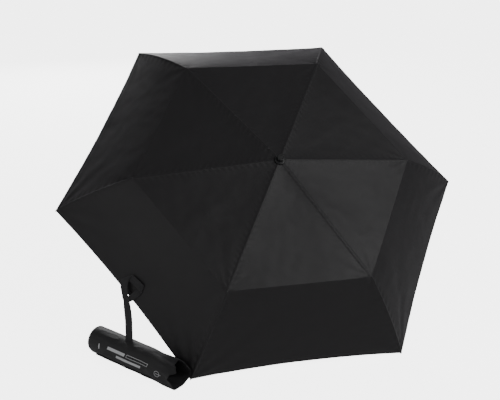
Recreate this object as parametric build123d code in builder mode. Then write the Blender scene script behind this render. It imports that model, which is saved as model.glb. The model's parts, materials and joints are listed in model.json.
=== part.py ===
from build123d import *
import math
import os

os.makedirs("parts", exist_ok=True)

# A compact umbrella with six ribs that fold in three, lying open on the floor beside its sleeve.
# Millimetres and degrees. Heights run along the shaft from the plane of the crown pins, upwards
# to the cap. Distances out are from the shaft's axis.

# Canopy
rib_count = 6
canopy_radius = 480.0
canopy_top = 6.0
canopy_slope = 0.1328
bend_radius = 320.0
corner_height = -164.8
outer_bulge = 8.0
hem_bow = 8.0
fabric = 0.5
centre_hole = 6.6
seam_gap = 0.4

# Rib linkage: distances along a rib from its crown pin
pin_circle = 9.0
first_joint = 157.4
second_joint = 313.8
first_joint_rise = 2.0
second_joint_drop = 2.9
rib_width = 3.0
rib_wall = 0.5
pin_radius = 0.6
wire_radius = 0.9
corner_radius = 478.5
wire_end_height = -167.0
tip_radius = 1.6

# Stretchers
stretcher_joint = 74.0
stretcher_length = 92.0
stretcher_inside = 3.6
stretcher_outside = 4.8
stretcher_web_end = 72.0

# Shaft
upper_tube_radius = 5.25
middle_tube_radius = 4.5
lower_tube_radius = 3.85
upper_tube_wall = 0.6
inner_tube_wall = 0.5
upper_tube_top = 8.0
upper_tube_bottom = -178.0
middle_tube_top = -158.0
middle_tube_bottom = -338.0
lower_tube_top = -318.0
lower_tube_bottom = -525.0
middle_travel = 155.0
lower_travel = 148.0

# Crown, cap and runner
ring_wire_radius = 0.5
ring_clearance = 0.75
crown_radius = 12.0
crown_bottom = -5.0
crown_height = 8.5
runner_bore = 5.45
runner_disc_radius = 11.5
runner_hub_radius = 9.5
runner_tail_radius = 7.0
button_travel = 1.4
button_azimuth = 90.0

# Handle
handle_radius = 16.0
handle_top = -490.0
handle_end = -545.0
handle_edge = 3.0
handle_recess_radius = 8.5
handle_recess_depth = 15.0

# Sleeve, lying on the floor with its closed end at the left
sleeve_radius = 28.7
sleeve_wall = 1.0
sleeve_near_length = 238.0
sleeve_far_length = 244.0
sleeve_yaw = -52.6
sleeve_end_x = -412.6
sleeve_end_y = -376.2
piping_radius = 1.5
seam_flange = 6.0
strap_width = 15.0
strap_thickness = 2.5
strap_place = 87.5
strap_loop_centre = (-18.0, 100.0)
strap_loop_radius = 27.0


# The ribs' shape, worked out from the dimensions above
rib_slope = math.degrees(math.atan(canopy_slope))


def rib_point(along, above):
    """Distance out and height of a point on the inner rib's line, or above it."""
    turn = math.radians(rib_slope)
    out = pin_circle + along * math.cos(turn) + above * math.sin(turn)
    height = above * math.cos(turn) - along * math.sin(turn)
    return out, height


first_pivot = rib_point(first_joint, first_joint_rise)
second_pivot = rib_point(second_joint, -second_joint_drop)
stretcher_pivot = rib_point(stretcher_joint, 0.0)
stretcher_rise = math.sqrt(stretcher_length**2 - (stretcher_pivot[0] - pin_circle) ** 2)
runner_height = stretcher_pivot[1] - stretcher_rise
runner_travel = runner_height + stretcher_joint + stretcher_length
stretcher_slope = math.degrees(math.asin(stretcher_rise / stretcher_length))

wire_run = corner_radius - second_pivot[0]
wire_fall = second_pivot[1] - wire_end_height
wire_chord = math.hypot(wire_run, wire_fall)
wire_slope = math.degrees(math.atan2(wire_fall, wire_run))
wire_half_turn = math.degrees(2 * math.atan(2 * outer_bulge / wire_chord))
tip_slope = wire_slope + wire_half_turn
tip_centre_out = corner_radius + math.cos(math.radians(tip_slope))
tip_centre_height = wire_end_height - math.sin(math.radians(tip_slope))

# Lean of the shaft, so that two rib tips and the rim of the handle rest on the floor
tip_reach = tip_centre_out * math.sin(math.radians(360 / rib_count)) - (handle_radius - handle_edge)
rim_reach = tip_centre_height - (handle_end + handle_edge)
rest_offset = handle_edge - tip_radius
lean = math.degrees(
    math.atan2(rim_reach, tip_reach) + math.asin(rest_offset / math.hypot(tip_reach, rim_reach))
)
lean_sin = math.sin(math.radians(lean))
lean_cos = math.cos(math.radians(lean))
rest_height = (handle_radius - handle_edge) * lean_sin - (handle_end + handle_edge) * lean_cos + handle_edge
rest_depth = (handle_radius - handle_edge) * lean_cos + (handle_end + handle_edge) * lean_sin

shaft = Plane(origin=(0, rest_depth, rest_height), x_dir=(1, 0, 0), z_dir=(0, -lean_sin, lean_cos))
azimuths = [180 - 360 / rib_count * number for number in range(1, rib_count + 1)]
pieces = {}


def radial_plane(azimuth, out=0.0, height=0.0, slope=0.0):
    """Plane through the shaft: its x runs outwards, turned down by slope, and its y upwards."""
    angle = math.radians(azimuth)
    tilt = math.radians(slope)
    outwards = shaft.x_dir * math.cos(angle) + shaft.y_dir * math.sin(angle)
    origin = shaft.origin + outwards * out + shaft.z_dir * height
    along = outwards * math.cos(tilt) - shaft.z_dir * math.sin(tilt)
    return Plane(origin=origin, x_dir=along, z_dir=outwards.cross(shaft.z_dir))


def bar(plane, start, end, bottom, top, width, mode=Mode.ADD):
    """Rectangular bar seen from the side in the plane, centred on it."""
    with BuildSketch(plane) as side:
        with Locations(((start + end) / 2, (bottom + top) / 2)):
            Rectangle(end - start, top - bottom)
    extrude(side.sketch, amount=width / 2, both=True, mode=mode)


def disc(plane, out, height, radius, width, mode=Mode.ADD):
    """Round plate across the plane, centred on it: an eye, a pin or a pin's hole."""
    with BuildSketch(plane) as side:
        with Locations((out, height)):
            Circle(radius)
    extrude(side.sketch, amount=width / 2, both=True, mode=mode)


def turned(radius_in, radius_out, bottom, top, mode=Mode.ADD):
    """Tube or collar round the shaft."""
    with BuildSketch(shaft.offset(bottom)) as ring:
        Circle(radius_out)
        if radius_in > 0:
            Circle(radius_in, mode=Mode.SUBTRACT)
    extrude(ring.sketch, amount=top - bottom, mode=mode)


# Canopy: six gores, each one flat across, with a hem that bows in a little
half_turn = math.radians(180 / rib_count)
mid_panel = math.cos(half_turn)
centre_height = canopy_top - canopy_slope * centre_hole
bend_height = canopy_top - canopy_slope * bend_radius
outer_run = canopy_radius - bend_radius
outer_fall = bend_height - corner_height
outer_chord = math.hypot(outer_run, outer_fall)
bulge_out = bend_radius + outer_run / 2 + outer_bulge * outer_fall / outer_chord
bulge_height = bend_height - outer_fall / 2 + outer_bulge * outer_run / outer_chord


def make_gore(azimuth):
    """One gore, creased at the bend: its middle profile, drawn out sideways and cut to its outline."""
    section_plane = radial_plane(azimuth)
    plan_plane = Plane(origin=shaft.offset(-300).origin, x_dir=section_plane.x_dir, z_dir=shaft.z_dir)
    inner_half = centre_hole * math.sin(half_turn) - seam_gap / 2
    hem_half = canopy_radius * math.sin(half_turn) - seam_gap / 2
    centre_out = centre_hole * mid_panel
    bend_out = bend_radius * mid_panel
    middle_out = bulge_out * mid_panel
    hem_out = canopy_radius * mid_panel
    above = fabric / 2
    with BuildPart() as gore:
        with BuildSketch(section_plane) as section:
            with BuildLine():
                upper = Line((centre_out, centre_height + above), (bend_out, bend_height + above))
                outer = ThreePointArc(
                    upper @ 1, (middle_out, bulge_height + above), (hem_out, corner_height + above)
                )
                hem_edge = Line(outer @ 1, (hem_out, corner_height - above))
                under_outer = ThreePointArc(
                    hem_edge @ 1, (middle_out, bulge_height - above), (bend_out, bend_height - above)
                )
                under = Line(under_outer @ 1, (centre_out, centre_height - above))
                Line(under @ 1, upper @ 0)
            make_face()
        extrude(section.sketch, amount=canopy_radius, both=True)
        with BuildSketch(plan_plane) as plan:
            with BuildLine():
                left = Line((centre_out, inner_half), (hem_out, hem_half))
                hem = ThreePointArc(left @ 1, (hem_out - hem_bow, 0), (hem_out, -hem_half))
                right = Line(hem @ 1, (centre_out, -inner_half))
                Line(right @ 1, left @ 0)
            make_face()
        extrude(plan.sketch, amount=400, mode=Mode.INTERSECT)
        with BuildSketch(section_plane) as crease:
            with Locations((bend_out, bend_height)):
                Rectangle(seam_gap, 4)
        extrude(crease.sketch, amount=canopy_radius, both=True, mode=Mode.SUBTRACT)
    return gore


gores = [make_gore(azimuth + 180 / rib_count) for azimuth in azimuths]
with BuildPart() as canopy:
    for gore in gores:
        add(gore.part)
pieces["canopy"] = canopy

# Crown: slotted collar at the top of the shaft, threaded with a ring of wire that the ribs hang on
with BuildPart() as crown:
    turned(upper_tube_radius, crown_radius, crown_bottom, crown_bottom + crown_height)
    for azimuth in azimuths:
        bar(radial_plane(azimuth), pin_circle - 2.2, crown_radius + 1, -6, 5, 3.8, Mode.SUBTRACT)
    with Locations(shaft.location):
        Torus(pin_circle, ring_wire_radius, mode=Mode.SUBTRACT)
pieces["crown"] = crown

with BuildPart() as crown_wire:
    with Locations(shaft.location):
        Torus(pin_circle, ring_wire_radius)
pieces["crown_wire"] = crown_wire

# Cap: stepped knob that clamps the canopy, with a shallow dimple in its top
with BuildPart() as top_cap:
    with BuildSketch(radial_plane(0)) as cap_section:
        with BuildLine():
            seat = Line((upper_tube_radius + 0.15, 5.63), (12.5, 4.69))
            flange = Line(seat @ 1, (12.5, 7.0))
            shoulder = ThreePointArc(flange @ 1, (11.6, 8.5), (9.0, 9.0))
            groove_in = Line(shoulder @ 1, (7.1, 9.2))
            neck = Line(groove_in @ 1, (7.1, 11.0))
            groove_out = Line(neck @ 1, (8.3, 11.6))
            knob = Line(groove_out @ 1, (8.3, 15.2))
            crown_edge = ThreePointArc(knob @ 1, (7.9, 16.2), (6.9, 16.6))
            rim = Line(crown_edge @ 1, (5.4, 16.6))
            dimple_side = Line(rim @ 1, (4.2, 15.8))
            dimple = Line(dimple_side @ 1, (0, 15.8))
            axis_line = Line(dimple @ 1, (0, upper_tube_top + 0.2))
            socket = Line(axis_line @ 1, (upper_tube_radius + 0.15, upper_tube_top + 0.2))
            Line(socket @ 1, seat @ 0)
        make_face()
    revolve(cap_section.sketch, axis=Axis(shaft.origin, shaft.z_dir), revolution_arc=360)
pieces["top_cap"] = top_cap

# Shaft: three tubes, one inside the next
with BuildPart() as upper_tube:
    turned(upper_tube_radius - upper_tube_wall, upper_tube_radius, upper_tube_bottom, upper_tube_top)
pieces["upper_tube"] = upper_tube

with BuildPart() as middle_tube:
    turned(middle_tube_radius - inner_tube_wall, middle_tube_radius, middle_tube_bottom, middle_tube_top)
pieces["middle_tube"] = middle_tube

with BuildPart() as lower_tube:
    turned(lower_tube_radius - inner_tube_wall, lower_tube_radius, lower_tube_bottom, lower_tube_top)
pieces["lower_tube"] = lower_tube

# Runner: slotted disc for the stretchers, a hub with the release button and a tail
with BuildPart() as runner:
    turned(runner_bore, runner_disc_radius, runner_height - 4.5, runner_height + 4)
    turned(runner_bore, runner_hub_radius, runner_height - 17, runner_height - 4.5)
    turned(runner_bore, runner_tail_radius, runner_height - 24, runner_height - 17)
    for azimuth in azimuths:
        slot_plane = radial_plane(azimuth, 0, runner_height)
        bar(slot_plane, pin_circle - 2.5, runner_disc_radius + 1, -3.2, 6, 5.4, Mode.SUBTRACT)
    with Locations(shaft.offset(runner_height).location):
        Torus(pin_circle, ring_wire_radius, mode=Mode.SUBTRACT)
    button_plane = radial_plane(button_azimuth, 0, runner_height - 11)
    bar(button_plane, 5.9, runner_hub_radius + 1, -4.3, 4.3, 7.6, Mode.SUBTRACT)
pieces["runner"] = runner

with BuildPart() as runner_wire:
    with Locations(shaft.offset(runner_height).location):
        Torus(pin_circle, ring_wire_radius)
pieces["runner_wire"] = runner_wire

with BuildPart() as release_button:
    bar(button_plane, 7.4, 11.0, -4, 4, 7)
    outer_face = release_button.faces().sort_by(Axis(button_plane.origin, button_plane.x_dir))[-1]
    fillet(outer_face.edges(), 0.8)
pieces["release_button"] = release_button

# Handle: a short grip round the lowest tube, hollow at the top for the runner, with a plug below
with BuildPart() as handle_grip:
    turned(lower_tube_radius, handle_radius, handle_end, handle_top)
    turned(0, handle_recess_radius, handle_top - handle_recess_depth, handle_top + 1, Mode.SUBTRACT)
    end_edges = handle_grip.edges().filter_by(GeomType.CIRCLE).sort_by(lambda edge: edge.radius)[-2:]
    fillet(end_edges, handle_edge)
    turned(0, 10, handle_end - 1, handle_end + 5, Mode.SUBTRACT)
pieces["handle_grip"] = handle_grip

with BuildPart() as handle_plug:
    turned(0, 10, handle_end + 0.6, handle_end + 5)
pieces["handle_plug"] = handle_plug


def channel(plane, start, end, back_up):
    """Folded steel channel along the plane's x, open on the side away from its back."""
    half = rib_width / 2
    bar(plane, start, end, -half, half, rib_width)
    inside = half - rib_wall
    floor = -half - 1 if back_up else -inside
    ceiling = inside if back_up else half + 1
    bar(plane, start - 1, end + 1, floor, ceiling, rib_width - 2 * rib_wall, Mode.SUBTRACT)


def make_inner_rib(azimuth):
    """Inner rib: eye on the crown wire, channel, and two ears for the first joint."""
    plane = radial_plane(azimuth, pin_circle, 0, rib_slope)
    with BuildPart() as rib:
        channel(plane, 4, first_joint - 3.2, True)
        bar(plane, 0, 12, -1.3, 1.0, 2.0)
        disc(plane, 0, 0, 1.8, 1.6)
        bar(plane, 0, 4.2, -1.3, 1.3, 2.0)
        disc(plane, 0, 0, ring_clearance, 4, Mode.SUBTRACT)
        bar(plane, first_joint - 3.4, first_joint + 1.5, -1.5, 1.5, rib_width)
        bar(plane, first_joint - 1.5, first_joint + 1.5, 1.4, first_joint_rise, rib_width)
        disc(plane, first_joint, first_joint_rise, 1.5, rib_width)
        bar(plane, first_joint - 3.3, first_joint + 3, -2, 5, 2.0, Mode.SUBTRACT)
        disc(plane, first_joint, first_joint_rise, pin_radius, 4, Mode.SUBTRACT)
        disc(plane, stretcher_joint, 0, pin_radius, 3.4)
    return rib


def make_middle_rib(azimuth):
    """Middle rib: tongue in the first joint, channel, and two ears for the second joint."""
    plane = radial_plane(azimuth, pin_circle, 0, rib_slope)
    with BuildPart() as rib:
        channel(plane, first_joint + 3.2, second_joint - 3, True)
        bar(plane, first_joint + 2.5, first_joint + 12, -0.5, 1.2, 2.0)
        bar(plane, first_joint, first_joint + 3.5, 0.5, first_joint_rise, 1.6)
        disc(plane, first_joint, first_joint_rise, 1.5, 1.6)
        disc(plane, first_joint, first_joint_rise, pin_radius + 0.05, 4, Mode.SUBTRACT)
        bar(plane, second_joint - 9, second_joint + 1.7, -second_joint_drop, 1.5, 3.4)
        disc(plane, second_joint, -second_joint_drop, 1.7, 3.4)
        bar(plane, second_joint - 9.5, second_joint + 3, -6, 0.9, 2.4, Mode.SUBTRACT)
        bar(plane, second_joint - 2.5, second_joint + 3, -6, 2, 2.4, Mode.SUBTRACT)
        disc(plane, second_joint, -second_joint_drop, pin_radius, 4, Mode.SUBTRACT)
    return rib


def make_outer_rib(azimuth):
    """Outer rib: spring wire with a flattened eye, bent in one long curve to the canopy's corner."""
    plane = radial_plane(azimuth, second_pivot[0], second_pivot[1], wire_slope)
    with BuildPart() as rib:
        with BuildLine(plane) as path:
            ThreePointArc((0, 0), (wire_chord / 2, outer_bulge), (wire_chord, 0))
        start = Plane(origin=path.line @ 0, z_dir=path.line % 0)
        with BuildSketch(start) as wire_section:
            Circle(wire_radius)
        sweep(wire_section.sketch, path=path.line)
        disc(plane, 0, 0, 1.8, 1.6)
        disc(plane, 0, 0, pin_radius + 0.05, 4, Mode.SUBTRACT)
    return rib


def make_rib_tip(azimuth):
    """Rib tip: round-ended metal cap on the wire, which the canopy's corner is sewn to."""
    plane = radial_plane(azimuth, corner_radius, wire_end_height, tip_slope)
    back = Plane(origin=plane.origin - plane.x_dir * 8, z_dir=plane.x_dir)
    with BuildPart() as tip:
        with BuildSketch(back) as tip_section:
            Circle(tip_radius)
        extrude(tip_section.sketch, amount=9)
        with Locations(Location(plane.origin + plane.x_dir)):
            Sphere(tip_radius)
        with BuildSketch(back) as bore:
            Circle(wire_radius + 0.05)
        extrude(bore.sketch, amount=8, mode=Mode.SUBTRACT)
    return tip


def make_stretcher(azimuth):
    """Stretcher: eye on the runner wire, channel, and two plain ears that straddle the inner rib."""
    plane = radial_plane(azimuth, pin_circle, runner_height, -stretcher_slope)
    side_gap = stretcher_inside / 2
    with BuildPart() as stretcher:
        bar(plane, 5, stretcher_length, -1.5, 1.5, stretcher_outside)
        disc(plane, stretcher_length, 0, 1.5, stretcher_outside)
        bar(plane, 5, stretcher_web_end, 1.5, 2.1, stretcher_outside)
        bar(plane, 4, stretcher_length + 3, -3, 1.5, stretcher_inside, Mode.SUBTRACT)
        bar(plane, stretcher_web_end, stretcher_length + 3, -3, 3, stretcher_inside, Mode.SUBTRACT)
        bar(plane, 0, 6.4, -1.3, 1.5, 1.6)
        bar(plane, 5, 6.4, -0.5, 1.6, stretcher_inside)
        disc(plane, 0, 0, 1.5, 1.6)
        disc(plane, 0, 0, ring_clearance, 4, Mode.SUBTRACT)
        for side in (-1, 1):
            dome_plane = plane.offset(side * (side_gap + 0.6))
            with BuildSketch(dome_plane) as dome:
                with Locations((stretcher_length, 0)):
                    Circle(1.2)
            extrude(dome.sketch, amount=side * 0.4)
    return stretcher


for number, azimuth in enumerate(azimuths, start=1):
    rib_plane = radial_plane(azimuth, pin_circle, 0, rib_slope)
    pieces[f"inner_rib_{number}"] = make_inner_rib(azimuth)
    with BuildPart() as first_pin:
        disc(rib_plane, first_joint, first_joint_rise, pin_radius, rib_width + 0.3)
    pieces[f"inner_pin_{number}"] = first_pin
    pieces[f"middle_rib_{number}"] = make_middle_rib(azimuth)
    with BuildPart() as second_pin:
        disc(rib_plane, second_joint, -second_joint_drop, pin_radius, 3.9)
    pieces[f"middle_pin_{number}"] = second_pin
    pieces[f"outer_rib_{number}"] = make_outer_rib(azimuth)
    pieces[f"rib_tip_{number}"] = make_rib_tip(azimuth)
    pieces[f"stretcher_{number}"] = make_stretcher(azimuth)

# Sleeve: a soft tube on the floor, closed at one end, with a slanted mouth at the other
sleeve_turn = math.radians(sleeve_yaw)
sleeve_along = Vector(math.cos(sleeve_turn), math.sin(sleeve_turn), 0)
sleeve_far = Vector(-math.sin(sleeve_turn), math.cos(sleeve_turn), 0)
sleeve_start = Vector(sleeve_end_x, sleeve_end_y, sleeve_radius)
sleeve_section = Plane(origin=sleeve_start, x_dir=sleeve_far, z_dir=sleeve_along)
sleeve_plan = Plane(origin=sleeve_start, x_dir=sleeve_along, z_dir=(0, 0, 1))
piping_plane = sleeve_section.offset(piping_radius)
piping_circle = sleeve_radius - piping_radius

with BuildPart() as sleeve_body:
    with BuildSketch(sleeve_section.offset(piping_radius)) as tube_section:
        Circle(sleeve_radius)
    extrude(tube_section.sketch, amount=sleeve_far_length)
    with BuildSketch(sleeve_section.offset(piping_radius)) as flange_section:
        with Locations((-seam_flange, 0.6 - sleeve_radius)):
            Rectangle(2 * seam_flange + 6, 1.2)
    extrude(flange_section.sketch, amount=sleeve_far_length)
    with BuildSketch(sleeve_section) as hollow:
        Circle(sleeve_radius - sleeve_wall)
    extrude(hollow.sketch, amount=sleeve_far_length + 10, mode=Mode.SUBTRACT)
    with BuildSketch(sleeve_plan) as mouth_cut:
        with BuildLine():
            Polyline(
                (sleeve_near_length, -60),
                (sleeve_near_length, -sleeve_radius),
                (sleeve_far_length, sleeve_radius),
                (sleeve_far_length, 60),
                (sleeve_far_length + 40, 60),
                (sleeve_far_length + 40, -60),
                (sleeve_near_length, -60),
            )
        make_face()
    extrude(mouth_cut.sketch, amount=60, both=True, mode=Mode.SUBTRACT)
    with Locations(piping_plane.location):
        Torus(piping_circle, piping_radius, mode=Mode.SUBTRACT)
pieces["sleeve_body"] = sleeve_body

with BuildPart() as sleeve_piping:
    with Locations(piping_plane.location):
        Torus(piping_circle, piping_radius)
pieces["sleeve_piping"] = sleeve_piping

with BuildPart() as sleeve_end:
    with BuildSketch(sleeve_section.offset(piping_radius - sleeve_wall / 2)) as end_section:
        Circle(piping_circle - piping_radius)
    extrude(end_section.sketch, amount=sleeve_wall)
pieces["sleeve_end"] = sleeve_end

# Strap: doubled webbing that stands up from the sleeve's top and ends in a loop, in a plane
# parallel to the canopy's panel behind it
panel_azimuth = azimuths[4] - 180 / rib_count
panel_drop = math.degrees(math.atan2(bend_height - corner_height, (canopy_radius - bend_radius) * mid_panel))
panel_plane = radial_plane(panel_azimuth, 0, 0, panel_drop)
strap_foot = sleeve_start + sleeve_along * strap_place + Vector(0, 0, sleeve_radius)
strap_across = Vector(0, 0, 1).cross(panel_plane.y_dir).normalized()
strap_plane = Plane(origin=strap_foot, x_dir=strap_across, z_dir=panel_plane.y_dir)
strap_length = math.hypot(*strap_loop_centre)
strap_turn = math.degrees(math.atan2(strap_loop_centre[1], strap_loop_centre[0]))

with BuildPart() as sleeve_strap:
    with BuildSketch(strap_plane) as strap_outline:
        with Locations(Location((strap_loop_centre[0] / 2, strap_loop_centre[1] / 2, 0), (0, 0, strap_turn))):
            Rectangle(strap_length + 10, strap_width)
        with Locations(strap_loop_centre):
            Circle(strap_loop_radius)
            Circle(strap_loop_radius - strap_width, mode=Mode.SUBTRACT)
    extrude(strap_outline.sketch, amount=strap_thickness / 2, both=True)
    with BuildSketch(sleeve_section) as sleeve_outside:
        Circle(sleeve_radius)
    extrude(sleeve_outside.sketch, amount=sleeve_far_length, mode=Mode.SUBTRACT)
pieces["sleeve_strap"] = sleeve_strap


# The origin is the bottom centre of everything
def whole_box(parts):
    boxes = [piece.part.bounding_box() for piece in parts.values()]
    low = [min(getattr(box.min, axis) for box in boxes) for axis in "XYZ"]
    high = [max(getattr(box.max, axis) for box in boxes) for axis in "XYZ"]
    return low, high


low, high = whole_box(pieces)
to_origin = Location((-(low[0] + high[0]) / 2, -(low[1] + high[1]) / 2, -low[2]))
for name, piece in pieces.items():
    placed = piece.part.moved(to_origin)
    placed.label = name
    export_step(placed, f"parts/{name}.step")

print("lean", round(lean, 3), "runner height", round(runner_height, 2), "travel", round(runner_travel, 2))
print("box", [round(value, 2) for value in low], [round(value, 2) for value in high])
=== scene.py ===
import json
import math

import bmesh
import bpy
from mathutils import Matrix, Vector, noise


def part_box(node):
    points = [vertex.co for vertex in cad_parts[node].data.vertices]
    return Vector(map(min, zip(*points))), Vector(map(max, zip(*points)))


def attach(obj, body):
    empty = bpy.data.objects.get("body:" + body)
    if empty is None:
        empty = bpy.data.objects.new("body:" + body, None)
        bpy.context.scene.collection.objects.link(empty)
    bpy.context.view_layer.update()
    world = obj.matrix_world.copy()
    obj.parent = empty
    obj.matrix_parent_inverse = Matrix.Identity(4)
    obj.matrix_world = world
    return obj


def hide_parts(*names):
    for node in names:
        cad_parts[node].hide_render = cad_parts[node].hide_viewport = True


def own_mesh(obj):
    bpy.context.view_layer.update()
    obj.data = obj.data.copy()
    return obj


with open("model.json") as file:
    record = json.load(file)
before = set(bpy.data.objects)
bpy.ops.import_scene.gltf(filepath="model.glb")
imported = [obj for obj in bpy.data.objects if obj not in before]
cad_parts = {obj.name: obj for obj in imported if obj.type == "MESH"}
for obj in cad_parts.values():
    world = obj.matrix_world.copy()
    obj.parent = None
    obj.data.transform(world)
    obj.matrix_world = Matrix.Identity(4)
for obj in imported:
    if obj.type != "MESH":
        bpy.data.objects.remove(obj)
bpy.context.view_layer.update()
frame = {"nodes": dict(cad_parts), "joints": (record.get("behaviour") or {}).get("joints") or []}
scene = bpy.context.scene
joints = {joint["name"]: joint for joint in frame["joints"]}
ribNumbers = range(1, 7)

# the umbrella's own directions, read from its joints
shaftUp = -Vector(joints["runner_slide"]["axis"]).normalized()
crownPins = [Vector(joints[f"crown_hinge_{n}"]["pos_m"]) for n in ribNumbers]
crownCentre = sum(crownPins, Vector()) / len(crownPins)
ribDirections = [(pin - crownCentre).normalized() for pin in crownPins]
hingeAxes = [Vector(joints[f"crown_hinge_{n}"]["axis"]).normalized() for n in ribNumbers]


def smoothStep(value):
    value = min(1.0, max(0.0, value))
    return value * value * (3 - 2 * value)


def addNode(tree, kind, inputs=None, **settings):
    node = tree.nodes.new(kind)
    for key, value in settings.items():
        setattr(node, key, value)
    for key, value in (inputs or {}).items():
        if hasattr(value, "is_output"):
            tree.links.new(value, node.inputs[key])
        else:
            node.inputs[key].default_value = value
    return node


# camera, floor and light

view = {
    "place": (-0.5999, -1.9501, 1.0303),
    "aim": (0.2605, 0.9016, -0.3454),
    "roll": math.radians(1.42),
    "lens": 66.93,
    "floorSize": 14.0,
    "skyStrength": 0.16,
    "floorGlow": 4.5,
    "target": (0, -0.05, 0.33),
}


def makeCamera():
    data = bpy.data.cameras.new("camera")
    data.lens = view["lens"]
    data.sensor_width = 36.0
    data.clip_start = 0.05
    camera = bpy.data.objects.new("camera", data)
    scene.collection.objects.link(camera)
    turn = Vector(view["aim"]).to_track_quat("-Z", "Y").to_matrix().to_4x4()
    camera.matrix_world = Matrix.Translation(view["place"]) @ turn @ Matrix.Rotation(view["roll"], 4, "Z")
    scene.camera = camera


def makeAreaLight(name, place, target, size, power, colour=(1, 1, 1)):
    data = bpy.data.lights.new(name, "AREA")
    data.shape = "DISK"
    data.size = size
    data.energy = power
    data.color = colour
    light = bpy.data.objects.new(name, data)
    scene.collection.objects.link(light)
    light.location = place
    light.rotation_euler = (Vector(target) - Vector(place)).to_track_quat("-Z", "Y").to_euler()


def makeStage():
    world = bpy.data.worlds.new("studio")
    world.use_nodes = True
    background = world.node_tree.nodes["Background"]
    background.inputs["Color"].default_value = (1.0, 1.0, 1.0, 1.0)
    lookedAt = addNode(world.node_tree, "ShaderNodeLightPath").outputs["Is Camera Ray"]
    strength = addNode(world.node_tree, "ShaderNodeMapRange",
                       {"Value": lookedAt, "To Min": view["skyStrength"],
                                                              "To Max": view["floorGlow"]})
    world.node_tree.links.new(strength.outputs[0], background.inputs["Strength"])
    scene.world = world
    bm = bmesh.new()
    bmesh.ops.create_grid(bm, x_segments=2, y_segments=2, size=view["floorSize"] / 2)
    mesh = bpy.data.meshes.new("floor")
    bm.to_mesh(mesh)
    bm.free()
    floor = bpy.data.objects.new("floor", mesh)
    scene.collection.objects.link(floor)
    paint = bpy.data.materials.new("pale floor")
    paint.use_nodes = True
    shader = paint.node_tree.nodes["Principled BSDF"]
    shader.inputs["Base Color"].default_value = (0.93, 0.93, 0.93, 1)
    shader.inputs["Roughness"].default_value = 0.9
    shader.inputs["Specular IOR Level"].default_value = 0.1
    # a backlit white sweep: it glows for the camera and lights the object only a little
    tree = paint.node_tree
    seen = addNode(tree, "ShaderNodeLightPath").outputs["Is Camera Ray"]
    glow = addNode(tree, "ShaderNodeMath", {0: seen, 1: view["floorGlow"]}, operation="MULTIPLY").outputs[0]
    tree.links.new(glow, shader.inputs["Emission Strength"])
    shader.inputs["Emission Color"].default_value = (1, 1, 1, 1)
    mesh.materials.append(paint)
    makeAreaLight("key", (1.50, -1.70, 2.25), view["target"], 1.7, 30)
    makeAreaLight("back", (-0.20, 2.75, 1.05), view["target"], 1.3, 26)
    makeAreaLight("fill", (-2.6, -1.4, 1.3), view["target"], 1.8, 10)


makeCamera()
makeStage()
print("camera and stage done")


# node groups and materials

def groupSocket(tree, name, direction, kind="NodeSocketFloat", value=None):
    socket = tree.interface.new_socket(name=name, in_out=direction, socket_type=kind)
    if value is not None:
        socket.default_value = value


def mathNode(tree, operation, first, second=0.0, third=0.0):
    return addNode(tree, "ShaderNodeMath", {0: first, 1: second, 2: third}, operation=operation).outputs[0]


def makeWeaveGroup():
    # plain weave: two sets of threads that pass over and under each other, uneven along their length
    tree = bpy.data.node_groups.new("plainWeave", "ShaderNodeTree")
    groupSocket(tree, "Vector", "INPUT", "NodeSocketVector")
    groupSocket(tree, "Threads", "INPUT", value=900.0)
    groupSocket(tree, "Unevenness", "INPUT", value=0.4)
    groupSocket(tree, "Height", "OUTPUT")
    groupSocket(tree, "Shade", "OUTPUT")
    start = tree.nodes.new("NodeGroupInput")
    end = tree.nodes.new("NodeGroupOutput")
    place = addNode(tree, "ShaderNodeVectorMath", {0: start.outputs["Vector"],
                                                   "Scale": start.outputs["Threads"]},
                    operation="SCALE").outputs[0]
    split = addNode(tree, "ShaderNodeSeparateXYZ", {0: place})
    warp = mathNode(tree, "SINE", mathNode(tree, "MULTIPLY", split.outputs["X"], math.pi))
    weft = mathNode(tree, "SINE", mathNode(tree, "MULTIPLY", split.outputs["Y"], math.pi))
    over = mathNode(tree, "MULTIPLY", warp, weft)
    slub = addNode(tree, "ShaderNodeTexNoise", {"Vector": start.outputs["Vector"], "Scale": 260.0,
                                                "Detail": 3.0})
    rough = mathNode(tree, "MULTIPLY", slub.outputs["Fac"], start.outputs["Unevenness"])
    height = mathNode(tree, "ADD", mathNode(tree, "MULTIPLY_ADD", over, 0.5, 0.5), rough)
    tree.links.new(height, end.inputs["Height"])
    tree.links.new(mathNode(tree, "MULTIPLY_ADD", height, 0.35, 0.65), end.inputs["Shade"])
    return tree


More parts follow.
